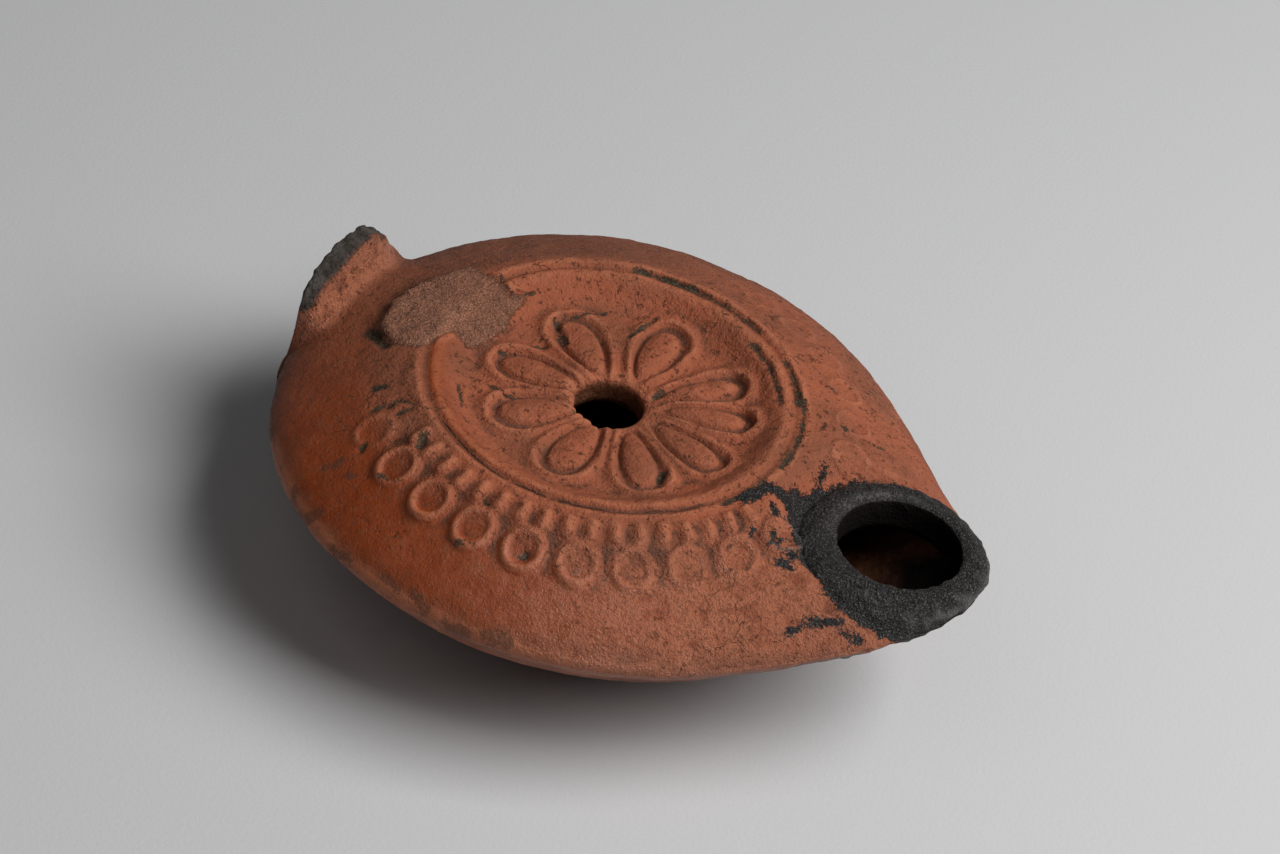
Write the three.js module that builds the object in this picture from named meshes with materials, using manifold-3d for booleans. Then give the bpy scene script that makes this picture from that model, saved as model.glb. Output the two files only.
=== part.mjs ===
// Roman oil lamp of fired clay: a teardrop bowl with a sunk and pierced discus, a moulded rosette, a frieze
// of ringed discs on the shoulder, a round nozzle with a wick hole, and the stub of a lost handle.
// Millimetres. +X runs to the nozzle, +Y to the far side and +Z up. The origin is the middle of the base.
import * as THREE from "three";
import { ParametricGeometry } from "three/addons/geometries/ParametricGeometry.js";
import { mergeVertices } from "three/addons/utils/BufferGeometryUtils.js";
import Module from "manifold-3d";

const wasm = await Module();
wasm.setup();

// Bowl: outline in plan, height of its rim and widest line, and the shape of its shoulder and underside.
// Pressed by hand, it is out of round: fullest at a bearing in degrees and a third of a turn to either side.
const rimHeight = 27;
const bowlBack = 38.7;
const bowlSide = 38.3;
const outOfRound = 0.014;
const outOfRoundBearing = -13;
const nozzleReach = 47.2;
const nozzleSpread = 21;
const outlineBlend = 7;
const equatorDrop = 9.4;
const nozzleDrop = 5.7;
const shoulderStart = 23.4;
const shoulderSlope = 0.63;
const undersidePower = 1.7;
const baseRadius = 17;

// Discus: radius and height over the rim line, from the middle out over the two ridges.
const dishDepth = 2.7;
const discusProfile = [
  [0, -dishDepth],
  [16.2, -2.3],
  [18, -1.45],
  [19.4, -0.4],
  [20.3, 0.1],
  [21.3, 0.1],
  [21.7, -0.35],
  [22.2, 0.1],
  [22.8, 0.25],
];

// Hollow: the clay wall, the roof of the oil chamber and the two holes into it.
const wall = 3.6;
const chamberRoof = rimHeight - dishDepth - wall;
const roofRadius = 23;
const chamberFloorRadius = 13;
const chamberSink = 0.5;
const chamberPower = 1.6;
const fillingRadius = 4.3;
const fillingFlare = 0.5;
const wickRadius = 7;
const wickFlare = 0.9;

// Nozzle: a round collar about the wick hole, and the valley between it and the discus.
const collarX = 38.5;
const collarRadius = 10.8;
const collarTop = rimHeight - 2.4;
const collarFoot = 20.2;
const collarLip = 2.1;
const valleyBottom = rimHeight - 4;
const valleyWidth = 5;

// Rosette: nine petals, each a raised leaf inside a raised outline, set a little off the middle.
const rosetteX = 1.2;
const rosetteY = 0.6;
const petalAngles = [145, 95, 49, 23, -12, -49, -91, -132, -170];
const petalTip = 16.2;
const petalHalfWidth = 3.2;
const petalRidge = 0.5;
const leafReach = 4.5;
const leafHalfWidth = 2.2;
const leafHeight = 0.85;

// Frieze: ringed discs on the shoulder and short bars inside them. On the far side only the discs next to
// the nozzle are left, worn low.
const ringCount = 10;
const ringFirst = 230.8;
const ringStep = 12.4;
const ringPlace = 28.8;
const ringRadius = 2.3;
const ringTube = 0.55;
const barCount = 17;
const barFirst = 239.2;
const barStep = 6.2;
const barPlace = 24.9;
const barHalfLength = 1.35;
const barHalfWidth = 0.62;
const barHeight = 0.6;
const farWear = 0.55;
const farRings = 6;

// Handle stub: its broken outline seen from the front as width and height, and its thickness from the side.
const stubFront = [
  [-12, 12],
  [-10.2, 18.4],
  [-8.9, 21.5],
  [-8.3, 24],
  [-6.8, 25.4],
  [-4.4, 26.4],
  [-1.6, 27.3],
  [1, 27.7],
  [3.6, 27.7],
  [5.4, 27.2],
  [6.9, 26.3],
  [8.4, 24.9],
  [10.6, 21.9],
  [13, 18.6],
  [13.6, 12],
];
const stubSide = [
  [-30, 15],
  [-32.5, 20.6],
  [-35, 22.4],
  [-36, 24.4],
  [-36.3, 32],
  [-42, 32],
  [-42, 21.5],
  [-38.2, 17],
  [-34, 15],
];
const stubProud = 0.4;
const stubMiddle = -37.3;
const stubBreakSlope = 0.3;

// Scar of the handle's front root: its ragged outline in plan, and its worn roof by radius and height.
const scarOutline = [
  [-27.9, -6.4],
  [-28.8, -3.2],
  [-28.2, 0.6],
  [-27, 5],
  [-24.8, 8.4],
  [-20.8, 8.3],
  [-18.2, 6.9],
  [-16.4, 9.2],
  [-16, 2.6],
  [-16, -1.4],
  [-17.2, -3.9],
  [-19.6, -3.4],
  [-21.4, -8.6],
  [-24.6, -8.8],
];
const scarRoof = [
  [14, -2.3],
  [18, -1.2],
  [21.5, -0.25],
  [24, -0.3],
  [30, -1.3],
];
const scarDepth = 5;
const scarHeadroom = 2;

// Fineness of the curved surfaces.
const shellColumns = 54;
const columnCrowding = 0.45;
const shoulderRows = 6;
const undersideRows = 5;
const chamberColumns = 36;
const chamberRoofRows = 4;
const chamberFloorRows = 5;
const roundSides = 26;
const ridgeSides = 5;
const ridgeSteps = 9;
const mergeDistance = 1e-4;

const upAxis = new THREE.Vector3(0, 0, 1);
const fullTurn = Math.PI * 2;

// Plan radius at an angle: the bowl's half-ellipses, out of round in three lobes, and the nozzle's ellipse,
// joined by a power mean.
function outlineRadius(angle) {
  const along = Math.cos(angle);
  const across = Math.sin(angle);
  const bowlLength = along < 0 ? bowlBack : bowlSide;
  const lobes = 1 + outOfRound * Math.cos(3 * (angle - THREE.MathUtils.degToRad(outOfRoundBearing)));
  const bowl = lobes / Math.hypot(along / bowlLength, across / bowlSide);
  if (along <= 0) return bowl;
  const nozzle = 1 / Math.hypot(along / nozzleReach, across / nozzleSpread);
  return (bowl ** outlineBlend + nozzle ** outlineBlend) ** (1 / outlineBlend);
}

const tipRadius = outlineRadius(0);

// Height of the widest line at an angle: it rises from the bowl to the nozzle's tip.
function equatorHeight(angle) {
  const out = Math.max(0, (outlineRadius(angle) - bowlSide) / (tipRadius - bowlSide));
  const share = Math.cos(angle) > 0 ? out : 0;
  return rimHeight - equatorDrop * (1 - share) - nozzleDrop * share;
}

// Point of the shoulder at a plan radius and angle: a straight slope that rounds over to the widest line.
function shoulderPoint(radius, angle) {
  const width = outlineRadius(angle) - shoulderStart;
  const share = THREE.MathUtils.clamp((radius - shoulderStart) / width, 0, 1);
  const round = 1 - Math.sqrt(1 - share * share);
  const fall = (rimHeight - equatorHeight(angle)) * (shoulderSlope * share + (1 - shoulderSlope) * round);
  return new THREE.Vector3(radius * Math.cos(angle), radius * Math.sin(angle), rimHeight - fall);
}

// Outward direction of the shoulder, from two short steps along it.
function shoulderNormal(radius, angle) {
  const step = 0.01;
  const here = shoulderPoint(radius, angle);
  const outward = shoulderPoint(radius + step, angle).sub(here);
  const around = shoulderPoint(radius, angle + step).sub(here);
  return outward.cross(around).normalize();
}

// Plan radius and height of a row of the outer skin, from the middle of the discus over the rim, down the
// shoulder to the widest line and in under the bowl to the middle of the base.
function skinRow(row, angle) {
  if (row < discusProfile.length) {
    const [radius, height] = discusProfile[row];
    return [radius, rimHeight + height];
  }
  const shoulderRow = row - discusProfile.length;
  const outline = outlineRadius(angle);
  if (shoulderRow <= shoulderRows) {
    const share = Math.sin((shoulderRow / shoulderRows) * Math.PI / 2);
    const radius = shoulderStart + (outline - shoulderStart) * share;
    return [radius, shoulderPoint(radius, angle).z];
  }
  const turn = ((shoulderRow - shoulderRows) / undersideRows) * Math.PI / 2;
  if (turn > Math.PI / 2 + mergeDistance) return [0, 0];
  const radius = baseRadius + (outline - baseRadius) * Math.cos(turn) ** undersidePower;
  return [radius, equatorHeight(angle) * (1 - Math.sin(turn) ** undersidePower)];
}

// Plan radius and height of a row of the chamber, the outer form drawn in by the wall.
function chamberRow(row, angle) {
  if (row === 0) return [0, chamberRoof];
  const outline = outlineRadius(angle) - wall;
  const equator = Math.min(equatorHeight(angle) - chamberSink, chamberRoof - chamberSink);
  if (row <= chamberRoofRows + 1) {
    const turn = ((row - 1) / chamberRoofRows) * Math.PI / 2;
    const radius = roofRadius + (outline - roofRadius) * Math.sin(turn);
    return [radius, equator + (chamberRoof - equator) * Math.cos(turn)];
  }
  const turn = ((row - 1 - chamberRoofRows) / chamberFloorRows) * Math.PI / 2;
  if (turn > Math.PI / 2 + mergeDistance) return [0, wall];
  const radius = chamberFloorRadius + (outline - chamberFloorRadius) * Math.cos(turn) ** chamberPower;
  return [radius, wall + (equator - wall) * (1 - Math.sin(turn) ** chamberPower)];
}

// Closed surface of rows about the vertical axis, with its columns crowded towards the nozzle.
function roundSurface(rowAt, rows, columns) {
  const place = (u, v, target) => {
    const turn = ((1 - u) % 1) * fullTurn;
    const angle = turn - columnCrowding * Math.sin(turn);
    const [radius, height] = rowAt(Math.round(v * rows), angle);
    target.set(radius * Math.cos(angle), radius * Math.sin(angle), height);
  };
  return new ParametricGeometry(place, columns, rows);
}

// Solid of revolution about a vertical axis at x, from a profile of radius and height that closes on it.
function turned(profile, x, sides) {
  const points = profile.map(([radius, height]) => new THREE.Vector2(radius, height));
  const geometry = new THREE.LatheGeometry(points, sides);
  geometry.rotateX(Math.PI / 2);
  geometry.translate(x, 0, 0);
  return geometry;
}

// Closed solid of a geometry: its vertices merged by place and its flat triangles left out.
function solidOf(geometry) {
  const bare = geometry.clone();
  bare.deleteAttribute("normal");
  bare.deleteAttribute("uv");
  const merged = mergeVertices(bare, mergeDistance);
  const corners = merged.index.array;
  const kept = [];
  for (let i = 0; i < corners.length; i += 3) {
    const [a, b, c] = corners.subarray(i, i + 3);
    if (a !== b && b !== c && c !== a) kept.push(a, b, c);
  }
  return new wasm.Manifold(new wasm.Mesh({
    numProp: 3,
    vertProperties: new Float32Array(merged.attributes.position.array),
    triVerts: new Uint32Array(kept),
  }));
}

function polygon(points) {
  return new THREE.Shape(points.map(([x, y]) => new THREE.Vector2(x, y)));
}

// Rosette petal at an angle in degrees: a leaf and the ridge that runs around it.
function petal(degrees) {
  const floor = rimHeight - dishDepth + 0.1;
  const leaf = new THREE.SphereGeometry(1, 7, 4);
  leaf.scale(leafReach, leafHalfWidth, leafHeight);
  leaf.translate(petalTip - leafReach - 1.6, 0, floor);
  const side = [
    [petalTip - 10.8, petalHalfWidth * 0.35],
    [petalTip - 6.8, petalHalfWidth * 0.82],
    [petalTip - 2.6, petalHalfWidth],
  ];
  const back = side.map(([x, y]) => [x, -y]).reverse();
  const path = [...side, [petalTip, 0], ...back].map(([x, y]) => new THREE.Vector3(x, y, floor));
  const section = Array.from({ length: ridgeSides }, (_, i) => {
    const turn = (i / ridgeSides) * fullTurn;
    return [petalRidge * Math.cos(turn), petalRidge * Math.sin(turn)];
  });
  const ridge = new THREE.ExtrudeGeometry(polygon(section), {
    extrudePath: new THREE.CatmullRomCurve3(path),
    steps: ridgeSteps,
  });
  return [leaf, ridge].map((geometry) => {
    geometry.rotateZ(THREE.MathUtils.degToRad(degrees));
    geometry.translate(rosetteX, rosetteY, 0);
    return solidOf(geometry);
  });
}

// Raised ring of the frieze on the shoulder, lowered by its wear.
function friezeRing(degrees, wear) {
  const angle = THREE.MathUtils.degToRad(degrees);
  const normal = shoulderNormal(ringPlace, angle);
  const ring = new THREE.TorusGeometry(ringRadius, ringTube, 4, 10);
  ring.scale(1, 1, wear);
  ring.applyQuaternion(new THREE.Quaternion().setFromUnitVectors(upAxis, normal));
  const centre = shoulderPoint(ringPlace, angle);
  ring.translate(centre.x, centre.y, centre.z);
  return solidOf(ring);
}

// Short radial bar of the frieze.
function friezeBar(degrees) {
  const angle = THREE.MathUtils.degToRad(degrees);
  const normal = shoulderNormal(barPlace, angle);
  const bar = new THREE.SphereGeometry(1, 6, 3);
  bar.scale(barHalfLength, barHalfWidth, barHeight);
  bar.rotateZ(angle);
  bar.applyQuaternion(new THREE.Quaternion().setFromUnitVectors(upAxis, normal));
  const centre = shoulderPoint(barPlace, angle);
  bar.translate(centre.x, centre.y, centre.z);
  return solidOf(bar);
}

// Both rows of the frieze on the near side, and the worn discs that mirror its last ones.
function frieze() {
  const rings = Array.from({ length: ringCount }, (_, i) => ringFirst + ringStep * i);
  const bars = Array.from({ length: barCount }, (_, i) => barFirst + barStep * i);
  return [
    ...rings.map((degrees) => friezeRing(degrees, 1)),
    ...rings.slice(-farRings).map((degrees) => friezeRing(-degrees, farWear)),
    ...bars.map((degrees) => friezeBar(degrees)),
  ];
}

// Stub of the handle: where its front outline and its side outline meet, its break sloping up to the back
// and its back standing a little proud of the bowl.
function handleStub() {
  const reach = 12;
  const front = new THREE.ExtrudeGeometry(polygon(stubFront), { depth: reach, bevelEnabled: false });
  front.rotateX(Math.PI / 2);
  front.rotateZ(Math.PI / 2);
  front.translate(stubMiddle - reach / 2, 0, 0);
  const lean = new THREE.Matrix4().makeShear(0, -stubBreakSlope, 0, 0, 0, 0);
  front.translate(-stubMiddle, 0, 0).applyMatrix4(lean).translate(stubMiddle, 0, 0);
  const width = 40;
  const side = new THREE.ExtrudeGeometry(polygon(stubSide), { depth: width, bevelEnabled: false });
  side.rotateX(Math.PI / 2);
  side.translate(0, width / 2, 0);
  const columnRow = (row, angle) => {
    const radius = row === 1 || row === 2 ? outlineRadius(angle) + stubProud : 0;
    return [radius, row < 2 ? rimHeight * 2 : 0];
  };
  const column = roundSurface(columnRow, 3, shellColumns);
  return solidOf(front).intersect(solidOf(side)).intersect(solidOf(column));
}

// Scar's block and the space over it: its outline in plan, parted by its worn roof.
function handleScar() {
  const foot = rimHeight - scarDepth;
  const height = scarDepth + scarHeadroom;
  const block = new THREE.ExtrudeGeometry(polygon(scarOutline), { depth: height, bevelEnabled: false });
  block.translate(0, 0, foot);
  const roof = scarRoof.map(([radius, drop]) => [radius, rimHeight + drop]);
  const inner = scarRoof[0][0];
  const outer = scarRoof.at(-1)[0];
  const under = turned([[inner, foot], [outer, foot], ...roof.reverse(), [inner, foot]], 0, roundSides);
  const blockSolid = solidOf(block);
  const underSolid = solidOf(under);
  return { fill: blockSolid.intersect(underSolid), space: blockSolid.subtract(underSolid) };
}

// Collar of the nozzle, closed on top until the wick hole is cut.
function nozzleCollar() {
  return solidOf(turned([
    [0, collarFoot],
    [collarRadius - 0.9, collarFoot],
    [collarRadius + 0.1, collarFoot + 0.8],
    [collarRadius + 0.1, collarFoot + 1.7],
    [collarRadius - 0.4, collarTop - 1.3],
    [collarRadius - 1.2, collarTop - 0.35],
    [collarRadius - collarLip, collarTop],
    [0, collarTop],
  ], collarX, roundSides));
}

// Ring-shaped cut that lets the shoulder fall at 45 degrees to the collar's foot.
function nozzleValley() {
  const inner = collarRadius - 0.6;
  const outer = collarRadius + 0.4;
  return solidOf(turned([
    [inner, valleyBottom],
    [outer, valleyBottom],
    [outer + valleyWidth, valleyBottom + valleyWidth],
    [inner, valleyBottom + valleyWidth],
    [inner, valleyBottom],
  ], collarX, roundSides));
}

// Round hole from a height up past the surface, with its upper edge flared.
function flaredHole(radius, flare, bottom, edge, x) {
  return solidOf(turned([
    [0, bottom],
    [radius, bottom],
    [radius, edge - flare],
    [radius + flare * 0.25, edge - flare * 0.4],
    [radius + flare, edge],
    [radius + flare, edge + flare],
    [0, edge + flare],
  ], x, roundSides));
}

function lampSolid() {
  const skinRows = discusProfile.length + shoulderRows + undersideRows + 1;
  const chamberRows = chamberRoofRows + chamberFloorRows + 2;
  const scar = handleScar();
  const added = [...petalAngles.flatMap(petal), ...frieze(), handleStub()];
  let lamp = solidOf(roundSurface(skinRow, skinRows, shellColumns));
  lamp = lamp.subtract(nozzleValley()).add(nozzleCollar());
  lamp = added.reduce((whole, piece) => whole.add(piece), lamp);
  lamp = lamp.subtract(scar.space).add(scar.fill);
  lamp = lamp.subtract(solidOf(roundSurface(chamberRow, chamberRows, chamberColumns)));
  lamp = lamp.subtract(flaredHole(wickRadius, wickFlare, collarFoot - 0.4, collarTop + 0.05, collarX));
  const dishFloor = rimHeight - dishDepth;
  return lamp.subtract(flaredHole(fillingRadius, fillingFlare, chamberRoof - wall, dishFloor + 0.1, 0));
}

// Mesh of the lamp with its clay.
function lampMesh() {
  const { vertProperties, triVerts } = lampSolid().getMesh();
  const geometry = new THREE.BufferGeometry();
  geometry.setAttribute("position", new THREE.BufferAttribute(vertProperties, 3));
  geometry.setIndex(new THREE.BufferAttribute(triVerts, 1));
  geometry.computeVertexNormals();
  const clay = new THREE.MeshStandardMaterial({ color: 0x9c5238, roughness: 0.85, metalness: 0 });
  const mesh = new THREE.Mesh(geometry, clay);
  mesh.name = "lamp_body";
  return mesh;
}

const lamp = new THREE.Group();
lamp.add(lampMesh());

export default lamp;
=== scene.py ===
import math

import bpy
import numpy as np
from mathutils import Matrix, Vector


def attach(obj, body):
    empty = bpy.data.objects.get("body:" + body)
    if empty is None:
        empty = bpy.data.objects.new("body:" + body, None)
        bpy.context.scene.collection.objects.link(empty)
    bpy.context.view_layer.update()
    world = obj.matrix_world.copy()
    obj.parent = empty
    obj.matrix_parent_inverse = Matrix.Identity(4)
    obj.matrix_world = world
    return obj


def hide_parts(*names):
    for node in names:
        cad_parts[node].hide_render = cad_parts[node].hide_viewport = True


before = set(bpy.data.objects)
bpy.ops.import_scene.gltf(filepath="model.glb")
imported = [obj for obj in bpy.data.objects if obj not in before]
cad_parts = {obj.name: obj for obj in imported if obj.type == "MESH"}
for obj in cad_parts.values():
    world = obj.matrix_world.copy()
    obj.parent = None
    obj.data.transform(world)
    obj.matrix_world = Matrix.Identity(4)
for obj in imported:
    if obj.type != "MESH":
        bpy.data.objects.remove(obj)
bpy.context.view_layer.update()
millimetre = 0.001  # every size below is in millimetres, and the finished mesh is in metres
print("frame loaded:", sorted(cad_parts))

# the lamp's own form, the same driving sizes as the solid
bowl = {
    "rim": 27.0,  # height of the groove round the discus
    "back": 38.7, "side": 38.3, "reach": 47.2, "spread": 21.0, "blend": 7,
    "outOfRound": 0.014, "fullestAt": -13.0,  # share of the radius, and a bearing in degrees
    "equatorDrop": 9.4, "nozzleDrop": 5.7,
    "shoulder": 23.4, "slope": 0.63, "underPower": 1.7, "base": 17.0,
    "baseHollow": 0.35, "hollowShare": 0.86,
}
discus = {
    "floor": -2.7, "soften": 0.17,
    "profile": [(0, -2.7), (16.2, -2.3), (18, -1.45), (19.4, -0.4), (20.3, 0.1), (21.3, 0.12),
                (21.7, -0.4), (22.15, 0.12), (22.8, 0.25), (23.4, 0.0)],
    "holeLip": [(4.3, 20.7), (4.3, 22.4), (4.33, 23.4), (4.5, 23.95), (5.0, 24.3)],
}
collar = {
    "x": 38.5, "lipTop": 24.6, "foot": 11.4, "tipGap": 0.12,
    "valley": 23.0, "valleyStart": 11.2, "valleySoft": 0.3,
    # radius and share of the wall's height, then radius and share of the drop to the foot
    "inner": [(7.0, 0.0), (7.0, 0.6), (7.1, 0.86), (7.4, 0.97), (8.0, 1.0)],
    "outer": [(8.8, 0.03), (9.9, 0.2), (10.8, 0.54)], "overhang": 0.7,
}
chamber = {"wall": 3.6, "roofRadius": 23.0, "floorRadius": 13.0, "sink": 0.5, "power": 1.6}
handle = {
    # the broken outline from the front, as width and height at the middle of the break
    "front": [(-12, 12), (-10.2, 18.4), (-8.9, 21.5), (-8.3, 24), (-6.8, 25.4), (-4.4, 26.4),
              (-1.6, 27.3), (1, 27.7), (3.6, 27.7), (5.4, 27.2), (6.9, 26.3), (8.4, 24.9),
              (10.6, 21.9), (13, 18.6), (13.6, 12)],
    "foot": 31.8, "top": 36.2, "backEdge": 38.4, "edgeGap": 0.6, "proud": 0.4,
    "middle": 37.3, "breakSlope": 0.3,
    # the shoulder is fuller before the stub
    "swell": 1.5, "swellAt": 34.0, "swellLong": 3.6, "swellWide": 9.0, "swellFade": 0.7,
    "halfWidth": (12.0, 16.0), "rowShare": 0.40, "frontShare": 0.40, "topShare": 0.72, "frontPower": 2.5,
    "leastCosine": 0.9,
}
scar = {
    "outline": [(-27.9, -6.4), (-28.8, -3.2), (-28.2, 0.6), (-27, 5), (-24.8, 8.4), (-20.8, 8.3),
                (-18.2, 6.9), (-16.4, 9.2), (-16, 2.6), (-16, -1.4), (-17.2, -3.9), (-19.6, -3.4),
                (-21.4, -8.6), (-24.6, -8.8)],
    "roof": [(14, -2.3), (18, -1.2), (21.5, -0.25), (24, -0.3), (30, -1.3)],
    "edge": 0.3, "ragged": 0.8, "raggedCell": 2.4,
}
grid = {
    "seam": 26.3,  # the line across the nozzle's root where the bowl's grid meets the collar's
    "seamHalf": 50, "gapHalf": 7, "bowlHalf": 162, "tipHalf": 80, "tipCrowd": 0.35,
    "lipRows": 9, "dishRows": 62, "shoulderRows": 46, "rowCrowd": 0.3,
    "collarRows": 34, "nozzleRows": 44, "underRows": 24, "chamberRoofRows": 7, "chamberFloorRows": 7,
    # searches by halving: bearings in radians, longest ray and number of rounds
    "cornerSearch": (0.2, 1.4), "longestRay": 60.0, "halvings": 60,
}
# one number for each pattern of noise, so that they differ
seeds = {
    "ragged": 31, "edges": 7, "patches": 11, "groove": 61, "opening": 63,
    "fine": 41, "wear": 43, "wobble": 51, "dents": 53, "grain": 57,
}


def smoothStep(low, high, value):
    # cubic ease from 0 at low to 1 at high
    t = np.clip((value - low) / (high - low), 0, 1)
    return t * t * (3 - 2 * t)


def smoothMin(a, b, width):
    # the lesser of two heights, rounded off over the given width
    return -width * np.logaddexp(-a / width, -b / width)


def latticeNoise(points, cell, seed):
    # value noise from -1 to 1: hashed numbers at the corners of a cubic lattice, eased between them
    scaled = points / cell
    base = np.floor(scaled).astype(np.int64)
    ease = scaled - base
    ease = ease * ease * (3 - 2 * ease)
    total = np.zeros(points.shape[:-1])
    for corner in np.ndindex(2, 2, 2):
        at = base + corner
        # the large numbers only scramble the corner's place
        mix = at[..., 0] * 374761393 + at[..., 1] * 668265263 + at[..., 2] * 1103515245 + seed * 974634777
        mix = (mix ^ (mix >> 13)) * 1274126177
        mix = mix ^ (mix >> 16)
        weight = np.prod(np.where(corner, ease, 1 - ease), axis=-1)
        total += weight * (mix & 0xFFFF) / 0x7FFF
    return total - 1


def roughNoise(points, cell, seed, octaves=3):
    # octaves of lattice noise, each half as wide and half as high as the one before
    parts = [latticeNoise(points, cell / 2**k, seed + k) / 2**k for k in range(octaves)]
    return sum(parts) / (2 - 0.5 ** (octaves - 1))


def softProfile(points, soften, samples=1200):
    # a polyline's height against its first value, blurred by a bell of the given width
    along = np.linspace(points[0][0], points[-1][0], samples)
    height = np.interp(along, *np.array(points, float).T)
    step = along[1] - along[0]
    reach = np.arange(-3 * soften, 3 * soften + step, step)
    bell = np.exp(-0.5 * (reach / soften) ** 2)
    half = len(bell) // 2
    padded = np.pad(height, half, mode="edge")
    blurred = np.convolve(padded, bell / bell.sum(), mode="same")[half: half + len(height)]
    return lambda value: np.interp(value, along, blurred)


def spline(points, count):
    # Catmull-Rom curve through points, a list of arrays, at evenly spread parameters
    p = np.stack(points)
    p = np.concatenate([2 * p[:1] - p[1:2], p, 2 * p[-1:] - p[-2:-1]])
    at = np.linspace(0, len(points) - 1, count)
    k = np.minimum(at.astype(int), len(points) - 2)
    t = (at - k).reshape([-1] + [1] * (p.ndim - 1))
    a, b, c, d = p[k], p[k + 1], p[k + 2], p[k + 3]
    return 0.5 * (2 * b + (c - a) * t + (2 * a - 5 * b + 4 * c - d) * t**2 + (3 * b - a - 3 * c + d) * t**3)


def outlineRadius(angle, inset=0.0):
    # plan radius: the bowl's ellipse, out of round in three lobes, and in front the nozzle's longer
    # ellipse, joined by a power mean
    c, s = np.cos(angle), np.sin(angle)
    long = np.where(c < 0, bowl["back"], bowl["side"])
    lobes = 1 + bowl["outOfRound"] * np.cos(3 * (angle - math.radians(bowl["fullestAt"])))
    body = lobes / np.hypot(c / long, s / bowl["side"])
    nozzle = np.where(c > 0, 1 / np.hypot(c / bowl["reach"], s / bowl["spread"]), 0)
    return (body ** bowl["blend"] + nozzle ** bowl["blend"]) ** (1 / bowl["blend"]) - inset


tipRadius = float(outlineRadius(np.array(0.0)))


def equatorHeight(angle):
    # height of the widest line, higher towards the nozzle's tip
    share = np.clip((outlineRadius(angle) - bowl["side"]) / (tipRadius - bowl["side"]), 0, 1)
    share = np.where(np.cos(angle) > 0, share, 0)
    return bowl["rim"] - bowl["equatorDrop"] * (1 - share) - bowl["nozzleDrop"] * share


discusHeight = softProfile(discus["profile"], discus["soften"])


def polygonDistance(x, y, corners):
    # signed distance to a closed polygon, negative inside
    a = np.array(corners, float)
    b = np.roll(a, -1, axis=0)
    px, py = x[..., None] - a[:, 0], y[..., None] - a[:, 1]
    ex, ey = (b - a).T
    along = np.clip((px * ex + py * ey) / (ex * ex + ey * ey), 0, 1)
    nearest = np.hypot(px - ex * along, py - ey * along).min(-1)
    crosses = (a[:, 1] > y[..., None]) != (b[:, 1] > y[..., None])
    inside = np.sum(crosses & (px < ex * py / np.where(ey == 0, 1, ey)), -1) % 2
    return np.where(inside == 1, -nearest, nearest)


def scarDepth(x, y):
    # how far inside the broken patch in front of the handle a place lies, with a ragged edge
    flat = np.stack([x, y, np.zeros_like(x)], -1)
    wander = scar["ragged"] * roughNoise(flat, scar["raggedCell"], seeds["ragged"])
    return -polygonDistance(x, y, scar["outline"]) - wander


def topHeight(x, y):
    # discus, shoulder, the dip behind the nozzle's collar and the broken patch, as one height over the plan
    r, angle = np.hypot(x, y), np.arctan2(y, x)
    out = outlineRadius(angle)
    u = np.clip((r - bowl["shoulder"]) / (out - bowl["shoulder"]), 0, 1)
    fall = bowl["slope"] * u + (1 - bowl["slope"]) * (1 - np.sqrt(1 - u * u))
    shoulder = bowl["rim"] - (bowl["rim"] - equatorHeight(angle)) * fall
    height = np.where(r < bowl["shoulder"], bowl["rim"] + discusHeight(r), shoulder)
    fromCollar = np.hypot(x - collar["x"], y)
    valley = collar["valley"] + fromCollar - collar["valleyStart"]
    height = smoothMin(height, valley, collar["valleySoft"])
    roof = bowl["rim"] + np.interp(r, *np.array(scar["roof"], float).T)
    return height + (roof - height) * smoothStep(-scar["edge"], scar["edge"], scarDepth(x, y))


def chamberHeight(x, y):
    # the chamber's ceiling: flat over the middle, then a quarter ellipse down to its own widest line
    r, angle = np.hypot(x, y), np.arctan2(y, x)
    roof = bowl["rim"] + discus["floor"] - chamber["wall"]
    low = np.minimum(equatorHeight(angle), roof) - chamber["sink"]
    out = outlineRadius(angle, chamber["wall"])
    u = np.clip((r - chamber["roofRadius"]) / (out - chamber["roofRadius"]), 0, 1)
    return low + (roof - low) * np.sqrt(1 - u * u)


def cornerAngle(inset, side):
    # bearing from the discus of the point where the outline crosses the seam line on one side, by halving
    low, high = grid["cornerSearch"]
    for _ in range(grid["halvings"]):
        middle = (low + high) / 2
        beyond = outlineRadius(np.array(side * middle), inset) * math.cos(middle) > grid["seam"]
        low, high = (middle, high) if beyond else (low, middle)
    return low


def rayToOutline(angle, inset):
    # distance from the collar's axis to the outline along each bearing, by halving
    low, high = np.zeros_like(angle), np.full_like(angle, grid["longestRay"])
    for _ in range(grid["halvings"]):
        middle = (low + high) / 2
        x, y = collar["x"] + middle * np.cos(angle), middle * np.sin(angle)
        within = np.hypot(x, y) < outlineRadius(np.arctan2(y, x), inset)
        low, high = np.where(within, middle, low), np.where(within, high, middle)
    return low


def place(x, y, z):
    # three arrays of one shape as points
    return np.stack(np.broadcast_arrays(x, y, z), -1)


def addGrid(mesh, points, firstRow=None, lastRow=None, flip=False):
    # a grid closed round its columns becomes four-sided faces; given rows take the place of its own
    rows, columns = points.shape[:2]
    ids = mesh["count"] + np.arange(rows * columns).reshape(rows, columns)
    mesh["points"].append(points.reshape(-1, 3))
    mesh["count"] += rows * columns
    if firstRow is not None:
        ids[0] = firstRow
    if lastRow is not None:
        ids[-1] = np.where(lastRow >= 0, lastRow, ids[-1])
    right = np.roll(ids, -1, axis=1)
    quads = np.stack([ids[:-1], ids[1:], right[1:], right[:-1]], -1).reshape(-1, 4)
    mesh["quads"].append(quads[:, ::-1] if flip else quads)
    return ids


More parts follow.
